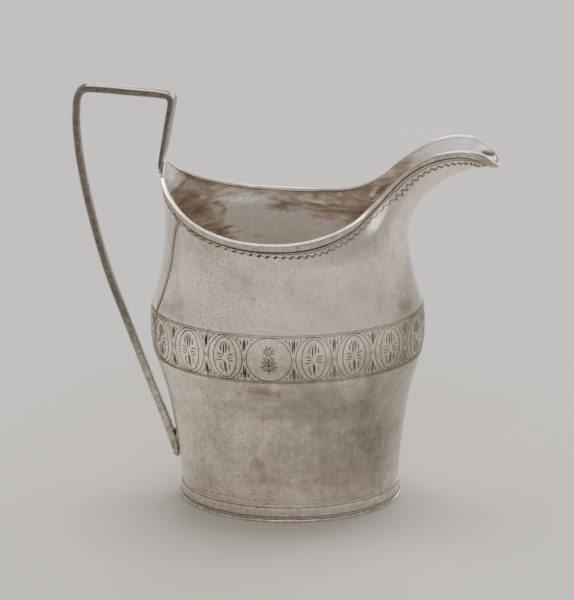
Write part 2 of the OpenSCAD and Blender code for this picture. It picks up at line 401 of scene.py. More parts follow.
def patches(p, spots):
    """Sum of soft oval patches on the jug's side.

    Each is (x, height, half width, half height, strength). A negative strength takes away what a
    wider patch adds.
    """
    total = np.zeros(len(p))
    for x, z, half_x, half_z, strength in spots:
        far = ((p[:, 0] - x) / half_x)**2 + ((p[:, 2] - z) / half_z)**2
        total += strength * np.exp(-1.4 * far**1.5)
    return total


# Broad tarnish on the near side and on the far side.
near_tarnish = [
    (18, 26, 18, 26, 0.45), (28, 28, 9, 26, 0.75), (6, 39, 22, 7, 0.9), (8, 24, 12, 12, 0.35),
    (-22, 62, 8, 5, -0.4), (15, 17, 16, 12, 0.35), (38, 70, 5, 14, 1.1), (-37, 66, 3, 14, 0.8),
    (-24, 88, 9, 5, 0.5), (37, 50, 6, 16, 0.8), (-6, 44.5, 7, 3, 0.35), (-16, 68, 26, 9, -0.6),
    (14, 66, 22, 7, -0.1), (-30, 20, 9, 26, -0.1), (-9, 6, 30, 6, -0.6), (-26, 56, 8, 8, -0.5),
    (-34, 88, 4, 16, 0.8), (28, 92, 8, 6, 0.1), (8, 52, 24, 5, 0.4), (-10, 22, 12, 12, -0.1)]
far_tarnish = [
    (-22, 30, 16, 22, 0.7), (12, 20, 16, 10, 0.4), (30, 62, 10, 18, 0.4), (-8, 72, 20, 10, -0.3)]

# Small stains with a clear edge.
near_stains = [
    (-31.5, 68, 3.0, 8, 0.75), (-29.5, 60, 2.2, 4, 0.7), (-8.4, 72.8, 1.1, 1.1, 1.0),
    (-9, 19.5, 2.6, 2.6, 0.95), (-7, 15.5, 1.6, 3.4, 0.95), (-3.6, 14, 1.3, 1.6, 0.9),
    (0.4, 13, 0.9, 1.0, 0.95), (3, 13, 0.9, 1.0, 0.9), (-5, 35.2, 5, 1.5, 0.85), (-8, 45, 4, 1.6, 0.8),
    (-3, 43.5, 5, 1.2, 0.7), (5.5, 13.5, 0.6, 0.7, 0.9), (5.5, 10.5, 0.6, 0.7, 0.9),
    (-22, 61, 1.2, 1.6, 0.8), (-22, 72, 0.9, 1.1, 0.7)]
far_stains = [
    (20, 38, 4, 2, 0.85), (-14, 22, 3, 4, 0.9), (6, 78, 1.2, 1.2, 0.9), (-25, 70, 3, 7, 0.8),
    (28, 16, 1.5, 2.5, 0.85)]

# Where the brown inside is painted pale, a painted reflection of the light. A negative strength makes it
# darker still.
inside_painted_reflection = [
    (-2, 75, 21, 11, 0.9), (-33, 102, 7, 4, 1.3), (50, 108, 14, 10, 1.2), (-14, 83, 10, 6, 0.6),
    (2, 87.5, 18, 2.0, 0.3), (-29, 90, 9, 8, -1.3), (25, 84, 9, 6, -0.5), (16, 88, 8, 3, 0.4)]


# Over how wide a strip one side's patches give way to the other's.
side_blend = 12
# The sheet is painted darker below this height, over this much of it, and lighter above it: partly tarnish,
# partly a painted reflection of the shaded floor by the foot and of the bright floor farther off.
painted_shade_top = 62
painted_shade_blend = 16
# The upper sheet is polished behind one of these, and in front of the other about the shoulder.
back_polish = -24
back_polish_low = 50
front_polish = 33
front_polish_middle = 62
front_polish_half = 10
# The spout's inside is painted dark past here, a painted dark reflection, with a painted highlight above
# this height.
tip_start = spout_reach - 5.7
painted_gleam_h = crest_h - 4


def silver_values(p, inside):
    """How tarnished, stained, pitted and polished the sheet is at each point, where light and shade are
    painted on it, and where its spout ends.
    """
    x, y, z = p.T
    near = np.clip(0.5 - y / side_blend, 0, 1)
    tarnish_and_painted_light = near * patches(p, near_tarnish) + (1 - near) * patches(p, far_tarnish)
    # Partly tarnish, partly painted reflection: darker low on the body, lighter high up.
    tarnish_and_painted_light += between(-0.25, 0.3, np.clip((painted_shade_top - z) / painted_shade_blend, 0, 1))
    # Inside, this value carries the painted reflection of the light.
    tarnish_and_painted_light = np.where(inside, 1 - patches(p, inside_painted_reflection), tarnish_and_painted_light)
    stain = near * patches(p, near_stains) + (1 - near) * patches(p, far_stains)
    behind = np.clip((back_polish - x) / 6, 0, 1) * (z > back_polish_low)
    before = np.clip((x - front_polish) / 4, 0, 1) * (np.abs(z - front_polish_middle) < front_polish_half)
    polished = behind + before
    pitted = np.clip(0.6 - x / 55, 0.12, 1) * (1 - 0.8 * polished)
    at_tip = np.clip(x - tip_start, 0, 1) * inside
    high = np.clip((z - painted_gleam_h) / 0.6, 0, 1)
    return {"tarnish_and_painted_light": tarnish_and_painted_light, "stain": stain, "pitted": pitted, "polished": polished,
            "tip": at_tip * (1 - high), "painted_gleam": at_tip * high}


def silver_outside():
    """Old sheet silver, clouded, mottled and brushed, with ragged stains and small pits."""
    look = Look("old_silver")
    cloud = look.noise(19, 5, 0.55, warp=0.4)
    mottle = look.noise(3.2, 8, 0.66, warp=0.3)
    grain = look.noise(0.5, 5, 0.7)
    brushed = look.noise(1.4, 5, 0.7, where=look.stretched(1, 1, 9))
    base = look.maths("ADD", look.maths("MULTIPLY", mottle, 0.36), look.maths("MULTIPLY", cloud, 0.44))
    base = look.maths("ADD", base, look.maths("MULTIPLY", brushed, 0.2))
    # This value is partly tarnish and partly painted shade, darker low on the body and lighter high up.
    tone = look.maths("SUBTRACT", base, look.maths("MULTIPLY", look.value("tarnish_and_painted_light"), 0.2))
    colour = look.ramp(tone, [(0.08, (0.19, 0.168, 0.15)), (0.34, (0.42, 0.37, 0.325)),
                              (0.5, (0.73, 0.645, 0.56)), (0.68, (0.99, 0.89, 0.78))])
    waver = look.grade(look.noise(2.2, 6, 0.6), 0.3, 0.7, -0.35, 0.35)
    ragged = look.grade(look.maths("ADD", look.value("stain"), waver), 0.42, 0.56, 0, 0.8)
    stained = look.mix(ragged, colour, (0.76, 0.70, 0.66), blend="MULTIPLY")
    pit = look.maths("MULTIPLY", look.grade(grain, 0.53, 0.60), look.value("pitted"))
    final = look.mix(look.maths("MULTIPLY", pit, 0.8), stained, (0.20, 0.155, 0.125))
    rough = look.maths("MULTIPLY", look.grade(mottle, 0.3, 0.7, 0.34, 0.24),
                       look.grade(look.value("polished"), 0, 1, 1, 0.45))
    pits = look.bump(look.maths("SUBTRACT", look.grade(mottle, 0, 1, 0, 0.5), pit), 0.02, 0.4)
    return look.done(Base_Color=final, Metallic=1.0, Roughness=rough, Normal=pits,
                     Coat_Weight=0.15, Coat_Roughness=0.2, Coat_IOR=1.6)


def silver_inside():
    """The sheet's inside: streaky brown, painted pale where it stands for the light it reflects."""
    look = Look("silver_inside")
    cloud = look.noise(12, 2.5, 0.5, warp=1.6)
    streak = look.noise(3.0, 5, 0.6, where=look.stretched(3.5, 3.5, 1), warp=1.0)
    mottle = look.noise(1.8, 8, 0.7)
    waver = look.maths("ADD", look.grade(cloud, 0.3, 0.7, -0.3, 0.3),
                       look.grade(streak, 0.3, 0.7, -0.25, 0.25))
    # Painted reflection: where the brown gives way to the pale colour.
    reflection_share = look.grade(look.maths("SUBTRACT", waver, look.value("tarnish_and_painted_light")), -0.66, -0.34)
    brown = look.ramp(streak, [(0.34, (0.36, 0.285, 0.215)), (0.52, (0.66, 0.56, 0.455)),
                               (0.68, (0.98, 0.89, 0.79))])
    darker = look.grade(look.value("tarnish_and_painted_light"), 1.0, 2.0, 0, 0.75)
    brown = look.mix(darker, brown, (0.30, 0.22, 0.155), blend="MULTIPLY")
    pale = look.ramp(mottle, [(0.36, (0.88, 0.82, 0.76)), (0.6, (1.0, 0.985, 0.96))])
    colour = look.mix(reflection_share, brown, pale)
    rough = look.grade(mottle, 0.3, 0.7, 0.22, 0.08)
    ripples = look.bump(streak, 0.3, 0.5)
    # Painted dark reflection at the spout's tip, and a painted highlight above it.
    tipped = look.mix(look.value("tip"), colour, (0.10, 0.09, 0.095))
    tipped = look.mix(look.value("painted_gleam"), tipped, (1.0, 0.99, 0.98))
    return look.done(Base_Color=tipped, Metallic=0.2, Roughness=rough, Normal=ripples,
                     Specular_IOR_Level=0.6, Coat_Weight=0.6, Coat_Roughness=0.04, Coat_IOR=1.7)


def trim_silver(name, dark, light, rough=(0.3, 0.16), worn=None, rubbed=None, tip_shade_colour=None):
    """Silver of the smaller parts: mottled, bright where worn, paler where rubbed, with a painted dark
    reflection at the tip.
    """
    look = Look(name)
    mottle = look.noise(1.6, 8, 0.7, warp=0.3)
    colour = look.ramp(mottle, [(0.38, dark), (0.6, light)])
    roughness = look.grade(mottle, 0.35, 0.65, *rough)
    if rubbed:
        colour = look.mix(look.value("rubbed"), colour, look.ramp(mottle, [(0.36, light), (0.6, rubbed)]))
    if worn:
        edge = look.value("worn")
        colour = look.mix(edge, colour, worn)
        roughness = look.maths("MULTIPLY", roughness, look.grade(edge, 0, 1, 1, 0.5))
    # Painted dark reflection at the spout's tip.
    if tip_shade_colour:
        colour = look.mix(look.value("tip"), colour, tip_shade_colour)
    pits = look.bump(look.noise(0.6, 6, 0.7), 0.015, 0.3)
    return look.done(Base_Color=colour, Metallic=1.0, Roughness=roughness, Normal=pits)


def cut_silver():
    """The graver's cuts: nearly black in their floor where crisp, greyer where worn."""
    look = Look("engraved_cuts")
    along = look.node("ShaderNodeSeparateXYZ")
    look.feed(along.inputs[0], look.place())
    rubbed = look.grade(along.outputs["X"], -6 * MM, 16 * MM, 0, 0.7)
    wear = look.maths("ADD", rubbed, look.grade(look.noise(6, 4, 0.6), 0.35, 0.65, -0.25, 0.35))
    dark = look.mix(look.grade(wear, 0, 1), (0.015, 0.01, 0.007), (0.22, 0.18, 0.15))
    colour = look.mix(look.value("depth"), (0.74, 0.68, 0.62), dark)
    metal = look.grade(look.value("depth"), 0, 1, 1, 0.25)
    return look.done(Base_Color=colour, Metallic=metal, Roughness=0.6, Specular_IOR_Level=0.2)


OUTSIDE = silver_outside()
INSIDE = silver_inside()
# The lip strip is painted dark at the spout's tip, a painted reflection.
STRIP = trim_silver("lip_silver", (0.36, 0.315, 0.27), (0.56, 0.51, 0.45), worn=(0.95, 0.94, 0.92),
                    tip_shade_colour=(0.34, 0.28, 0.225))
FOOT = trim_silver("foot_silver", (0.50, 0.44, 0.38), (0.74, 0.665, 0.59))
PLATE = trim_silver("plate_silver", (0.56, 0.46, 0.37), (0.95, 0.89, 0.82), (0.24, 0.12))
HANDLE = trim_silver("handle_silver", (0.13, 0.105, 0.088), (0.22, 0.19, 0.165), (0.4, 0.26),
                     worn=(0.40, 0.36, 0.33), rubbed=(0.66, 0.60, 0.52))
SEAM = trim_silver("solder_seam", (0.16, 0.11, 0.08), (0.36, 0.27, 0.20))
SOLDER = trim_silver("solder_grey", (0.20, 0.16, 0.13), (0.50, 0.44, 0.38), (0.5, 0.35))
CUTS = cut_silver()


# ---- body ----

def body_piece():
    """The raised sheet: up its outside, over the lip and down its inside, left true at both ends."""
    columns = 288
    low_rows = 64
    high_rows = 60
    outer_dents = 0.12
    inner_dents = 0.16
    true_end = 0.15
    turns = np.arange(columns) * 360 / columns - 180
    low_levels = np.linspace(0, 1, low_rows, endpoint=False)
    high_levels = np.linspace(1, 2, high_rows)
    levels = np.concatenate([low_levels, high_levels])
    turn_grid, level_grid = np.meshgrid(turns, levels)
    surface = skin(turn_grid, level_grid)
    normal = skin_normal(turn_grid, level_grid)
    ease = np.clip(np.minimum(level_grid, 2 - level_grid) / true_end, 0, 1)
    sink = burr + outer_dents * unevenness(surface) * ease
    proud = (inner_dents * unevenness(-surface) + inner_dents * hammering(surface)) * ease
    outer = surface - normal * sink[..., None]
    inner = surface - normal * (wall - proud)[..., None]
    inner[0] = oval_point(turns, body_foot_h, -wall)
    edge = surface[-1] - normal[-1] * wall / 2
    rings = np.concatenate([outer, edge[None], inner[::-1]])
    first_inside = (len(levels) + 1) * columns
    inside = np.arange(rings.size // 3) >= first_inside
    piece = ring_piece("body_wall", rings, OUTSIDE, nodes=["body"], slot="silver_sheet",
                       values=silver_values(rings.reshape(-1, 3), inside))
    piece.data.materials.append(INSIDE)
    slots = [0] * first_inside + [1] * (len(piece.data.polygons) - first_inside)
    piece.data.polygons.foreach_set("material_index", slots)
    return piece


body_piece()


# ---- lip strip ----

def creased(corners, ease=0.03):
    """A section with every corner drawn by two places close to it, so that it stays crisp."""
    made = []
    for k, corner in enumerate(corners):
        here = np.array(corner)
        for other in (corners[k - 1], corners[(k + 1) % len(corners)]):
            way = np.array(other) - here
            made.append(here + way * min(ease / np.linalg.norm(way), 0.4))
    return made


def strip_section():
    """Once round the strip: how far down from the lip and how far out of the wall."""
    out = 0.9 * lip_strip_t
    return creased([(lip_strip_h, -0.1), (lip_strip_h, 0.7 * out), (0.9 * lip_strip_h, out),
                    (0.1, 0.95 * out), (0.0, 0.7 * out), (0.06, -0.35 * wall),
                    (0.42, -1.06 * wall), (1.0, -1.06 * wall), (1.0, -0.5 * wall)])


def lip_strip():
    """The applied strip round the lip, bright along its top, with a painted dark reflection on the near side
    of the spout's tip.
    """
    columns = 360
    bright_top = 0.5
    bright_out = 0.75 * lip_strip_t
    tip_shade_start = spout_reach - 6.5
    far_side = 4
    turns = np.arange(columns) * 360 / columns - 180
    length = wall_length(turns)
    rings, worn, tips = [], [], []
    for down, out in strip_section():
        level = 2 - down / length
        ring = skin(turns, level) + skin_normal(turns, level) * out
        ring[:, 0] = np.minimum(ring[:, 0], spout_reach)
        rings.append(ring)
        at_top = down < bright_top and out < bright_out
        worn += [float(at_top)] * columns
        # Painted dark reflection on the near side of the spout's tip.
        tips.append(np.clip(ring[:, 0] - tip_shade_start, 0, 1) * (ring[:, 1] < far_side))
    return ring_piece("lip_edge", np.array(rings), STRIP, nodes=["lip_strip"], slot="silver_trim",
                      values={"worn": worn, "tip": np.concatenate(tips)})


lip_strip()


# ---- foot ----

def foot_ring(name, section, material, node, slot):
    """A hoop round the foot, from its section's (height, how far out of the body's foot)."""
    turns = np.arange(360) - 180.0
    rings = np.array([foot_point(turns, height, out) for height, out in section])
    return ring_piece(name, rings, material, nodes=[node], slot=slot)


def rounded(low, high, inside, outside, r):
    """A section with its two outer corners rounded by r."""
    bends = [share * math.pi / 2 for share in (0.0, 0.3, 0.62, 1.0)]
    lower = [(low + r * (1 - math.cos(bend)), outside - r * (1 - math.sin(bend))) for bend in bends]
    upper = [(high - (height - low), out) for height, out in lower[::-1]]
    return [(low, inside)] + lower + upper + [(high, inside)]


foot_section = [
    (body_foot_h, -0.1), (body_foot_h, foot_band_t - 0.12),
    (body_foot_h + 0.05, foot_band_t - 0.04), (body_foot_h + 0.2, foot_band_t - 0.02),
    (body_foot_h + 0.5, foot_band_t - 0.1), (between(body_foot_h, foot_band_h, 0.5), 0.22),
    (foot_band_h - 0.3, 0.06), (foot_band_h - 0.06, 0.0),
    (foot_band_h, -0.04), (foot_band_h, -0.1)]
seam_section = rounded(base_t, body_foot_h, -wall - 0.2, foot_band_t - 0.14, 0.05)
foot_ring("foot_strip", foot_section, FOOT, "foot_band", "silver_base")
foot_ring("base_seam_ring", seam_section, SEAM, "base_seam", "solder")


def base_piece():
    """The plate under the foot, a little hollow in the middle on both its faces."""
    columns = 240
    turns = np.arange(columns) * 360 / columns - 180
    section = [
        (0.06, -6.0), (0.0, -1.2), (0.0, foot_band_t - 0.2), (0.08, foot_band_t - 0.05),
        (0.3, foot_band_t), (base_t - 0.3, foot_band_t), (base_t - 0.08, foot_band_t - 0.05),
        (base_t, foot_band_t - 0.2), (base_t, -wall - 0.4), (base_t - 0.05, -6.0), (base_t - 0.08, -14.0)]
    rings = np.array([foot_point(turns, height, out) for height, out in section])
    return rod_piece("base", rings, PLATE, nodes=["base_plate"], slot="silver_base")


base_piece()


# ---- handle ----

back_x = -back_share * neck_r - 1.15 * lip_strip_t
tail_x = -float(side_line(tail_h)[0])
bar_h = handle_h - rod_t / 2 - 0.04
out_x = -handle_reach + rod_t / 2 + 0.05

# Stations from the handle's tail to the lip: x, height, width, thickness and twist in degrees.
handle_line = [
    [tail_x - 0.8, tail_h, 1.2 * rod_w, 0.7 * rod_t, 0],
    [tail_x - 2.2, tail_h + 6, 1.15 * rod_w, rod_t, 0],
    [tail_x - 4, tail_h + 12, 1.1 * rod_w, rod_t, 0],
    [between(tail_x, out_x, 0.26), between(tail_h, bar_h, 0.18), rod_w, rod_t, 0],
    [between(tail_x, out_x, 0.5), between(tail_h, bar_h, 0.35), rod_w, rod_t, 0],
    [between(tail_x, out_x, 0.72), between(tail_h, bar_h, 0.51), rod_w, rod_t, 0],
    [between(tail_x, out_x, 0.88), between(tail_h, bar_h, 0.67), rod_w, rod_t, 0],
    [between(tail_x, out_x, 0.97), between(tail_h, bar_h, 0.8), rod_w, rod_t, 0],
    [out_x, between(tail_h, bar_h, 0.89), rod_w, rod_t, 0],
    [out_x + 0.15, bar_h - 6.5, rod_w, rod_t, 0],
    [out_x + 0.75, bar_h - 2.6, rod_w, rod_t, 0],
    [out_x + 2.4, bar_h - 0.4, rod_w, rod_t, 0],
    [out_x + 5.5, bar_h, rod_w, rod_t, 0],
    [between(out_x, back_x, 0.62), bar_h - 0.8, 1.15 * rod_w, rod_t, 0],
    [back_x - 0.2, bar_h - 1.6, 1.3 * rod_w, 0.97 * rod_t, 0.2 * strap_turn],
    [back_x + 2.85, bar_h - 2.2, 1.55 * rod_w, 0.93 * rod_t, 0.7 * strap_turn],
    [back_x + 3.8, bar_h - 3.6, between(rod_w, root_w, 0.4), 0.86 * rod_t, strap_turn],
    [back_x + 3.65, bar_h - 5.5, between(rod_w, root_w, 0.47), 0.81 * rod_t, strap_turn],
    [back_x + 3.05, between(back_lip_h, bar_h, 0.62), between(rod_w, root_w, 0.6), 0.76 * rod_t, strap_turn],
    [back_x + 1.25, back_lip_h + 4.5, between(rod_w, root_w, 0.8), 0.64 * rod_t, 0.9 * strap_turn],
    [back_x + 0.4, back_lip_h + 0.8, root_w, 0.48 * rod_t, 0.6 * strap_turn],
    [back_x + 0.05, back_lip_h - 1.0, root_w, 0.38 * rod_t, 0.4 * strap_turn]]
handle_curve = Curve([[k, row] for k, row in enumerate(handle_line)])


def strap_frame(k):
    """Middle, way across and way outward of the handle at a station, with its half sizes."""
    s = handle_curve(k)
    step = 0.05
    ahead = handle_curve(np.minimum(k + step, len(handle_line) - 1))
    behind = handle_curve(np.maximum(k - step, 0))
    way = unit((ahead - behind)[..., :2])
    c, d = np.cos(np.radians(s[..., 4])), np.sin(np.radians(s[..., 4]))
    zero = 0 * c
    out = np.stack([-way[..., 1], zero, way[..., 0]], -1)
    side = np.stack([zero, zero + 1, zero], -1)
    middle = np.stack([s[..., 0], zero, s[..., 1]], -1)
    across_it = side * c[..., None] + out * d[..., None]
    outward = out * c[..., None] - side * d[..., None]
    return middle, across_it, outward, s[..., 2] / 2, s[..., 3] / 2


def handle_piece():
    """The flat rod with rounded, worn corners, rubbed paler towards its tail."""
    station_count = 300
    fillet_share = 0.42
    corner_wear = (0, 0.7, 1, 0.7, 0)
    face_sag = 0.985
    rubbed_top = 62
    rubbed_blend = 30
    rubbed_end = back_x + 8
    stations = np.linspace(0, len(handle_line) - 1, station_count)
    middle, side, out, half_w, half_t = strap_frame(stations)
    fillet = fillet_share * half_t
    section, worn = [], []
    for corner, (sx, sy) in enumerate([(1, 1), (-1, 1), (-1, -1), (1, -1)]):
        for step, wear in enumerate(corner_wear):
            angle = math.radians(90 * corner + 22.5 * step)
            wide = sx * (half_w - fillet) + fillet * math.cos(angle)
            deep = sy * (half_t - fillet) + fillet * math.sin(angle)
            section.append(middle + side * wide[:, None] + out * deep[:, None])
            worn.append(wear)
        if corner in (0, 2):
            section.append(middle + out * (sy * half_t * face_sag)[:, None])
            worn.append(0)
    rings = np.stack(section[::-1], 1)
    points = rings.reshape(-1, 3)
    rubbed = np.clip((rubbed_top - points[:, 2]) / rubbed_blend, 0, 1) * (points[:, 0] < rubbed_end)
    return rod_piece("handle_strap", rings, HANDLE, nodes=["handle"], slot="silver_handle",
                     values={"worn": np.tile(worn[::-1], len(stations)), "rubbed": rubbed})


handle_piece()


def solder_lump(name, node):
    """A lump of solder filling its CAD node's box, its surface run smooth and uneven."""
    rows = 16
    columns = 28
    squareness = 0.8
    fill = 0.93
    lumpiness = 0.06
    low, high = box_mm(node)
    middle, half = (low + high) / 2, (high - low) / 2
    rings = []
    for j in range(1, rows):
        slope = math.pi * j / rows
        ring = []
        for i in range(columns):
            turn = 2 * math.pi * i / columns
            level_part = math.sin(slope)
            way = np.array([level_part * math.cos(turn), level_part * math.sin(turn), math.cos(slope)])
            swell = fill + lumpiness * math.sin(3 * turn + 5 * slope) * level_part
            ring.append(middle + half * np.sign(way) * np.abs(way)**squareness * swell)
        rings.append(ring)
    return rod_piece(name, np.array(rings)[::-1], SOLDER, nodes=[node], slot="solder")


solder_lump("solder_upper", "upper_solder")
solder_lump("solder_lower", "lower_solder")


# ---- engraving ----

class Engraving:
    """Cuts of the graver, gathered into one mesh. A cut has a dark floor between two low burrs."""

    # Across a cut: sideways, in half widths, and how high above the wall.
    profile = np.array([(-1.1, -0.05), (-1.0, 0.8 * burr), (-0.9, 0.6 * burr),
                        (0.9, 0.6 * burr), (1.0, 0.8 * burr), (1.1, -0.05)])

    def __init__(self, place):
        self.place = place
        self.lines = []
        self.halves = []

    def cut(self, line, width, taper=True):
        """A cut along a line of flat places, narrowing towards both its ends if it tapers."""
        share = np.linspace(0, 1, len(line))
        swell = 0.25 + 0.75 * np.sin(math.pi * share)**0.6 if taper else np.ones(len(line))
        self.lines.append(np.asarray(line, float))
        self.halves.append(width / 2 * swell)

    def bow(self, x0, y0, x1, y1, bend, width, steps=5):
        """A curved cut from one place to another, bowed sideways by bend."""
        u = np.linspace(0, 1, steps)
        push = 4 * bend * u * (1 - u)
        length = math.hypot(x1 - x0, y1 - y0)
        x = x0 + (x1 - x0) * u - (y1 - y0) / length * push
        y = y0 + (y1 - y0) * u + (x1 - x0) / length * push
        self.cut(np.stack([x, y], 1), width)

    def dots(self, xs, y, size):
        """A row of short upright dots."""
        for x in xs:
            self.cut([(x, y - size / 2), (x, y + size / 2)], 0.75 * size, taper=False)

    def piece(self, name, slot):
        """All the cuts as one mesh, laid on the jug by place."""
        counts = np.array([len(line) for line in self.lines])
        starts = np.cumsum(counts) - counts
        middle, normal = self.place(np.concatenate(self.lines))
        half = np.concatenate(self.halves)
        here = np.arange(len(middle))
        before = np.maximum(here - 1, np.repeat(starts, counts))
        after = np.minimum(here + 1, np.repeat(starts + counts - 1, counts))
        side = unit(np.cross(middle[after] - middle[before], normal))
        n = len(self.profile)
        points = np.stack([
            middle + side * (shift * half)[:, None] + normal * (out - burr)
            for shift, out in self.profile], 1).reshape(-1, 3)
        depth = np.tile(np.abs(self.profile[:, 0]) < 0.95, len(middle)).astype(float)
        faces = []
        for start, count in zip((starts * n).tolist(), counts.tolist()):
            faces += faces_between(count, n, start)
            faces.append(tuple(range(start + n - 1, start - 1, -1)))
            faces.append(tuple(range(start + (count - 1) * n, start + count * n)))
        return make_piece(name, points, faces, CUTS, slot=slot, values={"depth": depth}, smooth=False)


fine_turns = np.linspace(-180, 180, 1441)


def run_along(points):
    """The distance along a line at each of its points."""
    return np.concatenate([[0], np.cumsum(np.linalg.norm(np.diff(points, axis=0), axis=1))])


# The band round the belly.
band_middle = belly_h - 0.55
band_half = 7.55
band_run = run_along(oval_point(fine_turns, band_middle))
front_run = np.interp(-90, fine_turns, band_run)


def on_band(line):
    """Flat places are the distance from the middle of the front and the height from the band's middle."""
    turn = np.interp((line[:, 0] + front_run) % band_run[-1], band_run, fine_turns)
    level = height_level(band_middle + line[:, 1])
    return skin(turn, level), skin_normal(turn, level)


def oval_line(cuts, x, half_w, half_h, pitch, width):
    """An oval outline of short slanting cuts."""
    cut_share = 0.72
    slant = 0.1
    around = math.pi * (3 * (half_w + half_h) - math.sqrt((3 * half_w + half_h) * (half_w + 3 * half_h)))
    count = round(around / pitch)
    for i in range(count):
        a = 2 * math.pi * i / count
        b = a + 2 * math.pi / count * cut_share
        start = (x + half_w * math.sin(a), half_h * math.cos(a))
        end = (x + (half_w + slant) * math.sin(b), (half_h + slant) * math.cos(b))
        cuts.cut([start, end], width, taper=False)


def flower(cuts, x):
    """Four leaves in an oval: two long ones up and down, two short ones across."""
    for way in (-1, 1):
        cuts.bow(x - 0.35, way * 0.7, x - 0.12, way * 4.7, 0.15, 0.42)
        cuts.bow(x + 0.32, way * 1.3, x + 0.42, way * 5.3, -0.12, 0.4)
        cuts.bow(x - 0.95, way * 3.7, x - 0.7, way * 5.0, 0, 0.28)
        for side in (-1, 1):
            cuts.bow(x + side * 1.3, way * 1.8, x + side * 1.25, way * 4.0, side * way * -0.15, 0.36)
    for side in (-1, 1):
        cuts.bow(x + side * 0.6, 0, x + side * 2.3, -0.1, 0, 0.3)
        for way in (-1, 1):
            cuts.bow(x + side * 0.75, way * 0.4, x + side * 2.7, way * 0.8, way * side * 0.42, 0.32)


def spandrel(cuts, x):
    """The filling between two ovals: a leaf at the top and the bottom, dots in the middle."""
    for way in (-1, 1):
        cuts.bow(x - 0.25, way * 2.0, x - 0.2, way * 6.3, 0, 0.46)
        cuts.bow(x + 0.3, way * 2.6, x + 0.3, way * 6.6, 0, 0.42)
        for side in (-1, 1):
            cuts.bow(x + side * 0.9, way * 4.2, x + side * 1.3, way * 6.2, 0, 0.34)
            cuts.bow(x + side * 1.9, way * 5.7, x + side * 2.5, way * 6.6, 0, 0.3)
    for side, way in ((-1, 0), (1, 0), (0, -1), (0, 1)):
        cuts.dots([x + side * 0.45], way * 0.6, 0.36)


def sprig(cuts, x):
    """A plain flower sprig in the wide oval: a stem with paired leaves under a round bloom."""
    bloom_y = 2.7
    cuts.bow(x, -4.8, x, 1.0, 0, 0.24, steps=7)
    for k, height in enumerate((-3.6, -2.1, -0.7)):
        reach = 2.6 - 0.5 * k
        for side in (-1, 1):
            cuts.bow(x, height, x + side * reach, height + 1.5, side * 0.45, 0.2)
            cuts.bow(x, height, x + side * reach, height + 1.5, side * -0.35, 0.2)
    for petal in range(8):
        a = math.radians(45 * petal + 22.5)
        cuts.bow(x + 0.5 * math.cos(a), bloom_y + 0.5 * math.sin(a),
                 x + 1.8 * math.cos(a), bloom_y + 1.8 * math.sin(a), 0, 0.4)
    cuts.dots([x], bloom_y, 0.4)


def band():
    """Two rows of dots along each edge, with the sprig in a wide oval and flowers in the ovals between."""
    dot_count = 358
    row_gap = 0.6
    front = -4.3
    ovals = 17
    first_gap = 13.35
    cuts = Engraving(on_band)
    for edge in (-1, 1):
        for row in (0, 1):
            xs = (np.arange(dot_count) + 0.5 * row) * (band_run[-1] / dot_count)
            cuts.dots(xs, edge * (band_half - row_gap * row), 0.4)
    pitch = (band_run[-1] - 2 * first_gap) / (ovals - 1)
    places = [front + first_gap + pitch * k for k in range(ovals)]
    oval_line(cuts, front, 6.7, 6.9, 0.56, 0.26)
    sprig(cuts, front)
    for x in places:
        oval_line(cuts, x, 5.3, 7.0, 0.56, 0.26)
        oval_line(cuts, x, 3.5, 6.3, 0.52, 0.28)
        flower(cuts, x)
    for x in [(a + b) / 2 for a, b in zip(places, places[1:])]:
        spandrel(cuts, x)
    for side in (-1, 1):
        spandrel(cuts, front + side * (first_gap / 2 + 0.7))
    return cuts.piece("band_engraving", "silver_sheet")


band()


# The wall under the lip. Its lines of equal turn meet the lip at a slant, not squarely.
lip_points = skin(fine_turns, 2)
lip_run = run_along(lip_points)
down_the_wall = unit(skin(fine_turns, 1.9) - lip_points)
lip_slant = np.sum(down_the_wall * unit(np.gradient(lip_points, axis=0)), axis=1)


def on_wall_under_lip(line):
    """Flat places are the distance along from the handle and the distance below the strip.

    The slant is taken out, which keeps the border square to the lip.
    """
    slant = np.interp(line[:, 0], lip_run, lip_slant)
    upright = np.sqrt(1 - slant**2)
    turn = np.interp(line[:, 0] - line[:, 1] * slant / upright, lip_run, fine_turns)
    level = 2 - (lip_strip_h + line[:, 1] / upright) / wall_length(turn)
    return skin(turn, level), skin_normal(turn, level)


def lip_border():
    """A scored line under the strip, a row of dots and a zigzag whose legs are short leaning cuts."""
    line_margin = 2
    line_y = 0.3
    dots_y = 1.1
    zigzag_margin = 3
    zigzag_y = 2.4
    period = 2.4
    leg_cuts = 4
    end = lip_run[-1]
    cuts = Engraving(on_wall_under_lip)
    cuts.cut([(x, line_y) for x in np.linspace(line_margin, end - line_margin, 500)], 0.6, taper=False)
    cuts.dots(np.arange(line_margin, end - line_margin, 0.5), dots_y, 0.44)
    for start in np.arange(zigzag_margin, end - zigzag_margin - period, period):
        for leg, way in ((0, -1), (1, 1)):
            for k in range(leg_cuts):
                u = (k + 0.5) / leg_cuts
                x = start + period / 2 * (leg + u)
                y = zigzag_y + way * (u - 0.5)
                lean = way * 0.28
                cuts.cut([(x + 0.12, y - lean), (x - 0.12, y + lean)], 0.24, taper=False)
    return cuts.piece("lip_engraving", "silver_sheet")


lip_border()


# The foot strip and the wall just above it.
foot_middle = 3
foot_run = run_along(oval_point(fine_turns, foot_middle, foot_band_t))
foot_side = Curve(foot_section[2:-2])


def on_foot_strip(line):
    """Flat places are the distance along and the height."""
    height = line[:, 1]
    turn = np.interp(line[:, 0] % foot_run[-1], foot_run, fine_turns)
    above = height > foot_band_h
    out = np.where(above, 0.0, foot_side(height)[:, 0])
    middle = foot_point(turn, height, out)
    normal = unit(foot_point(turn, height, out + 1) - middle)
    return middle + normal * 1.15 * burr * (~above)[:, None], normal


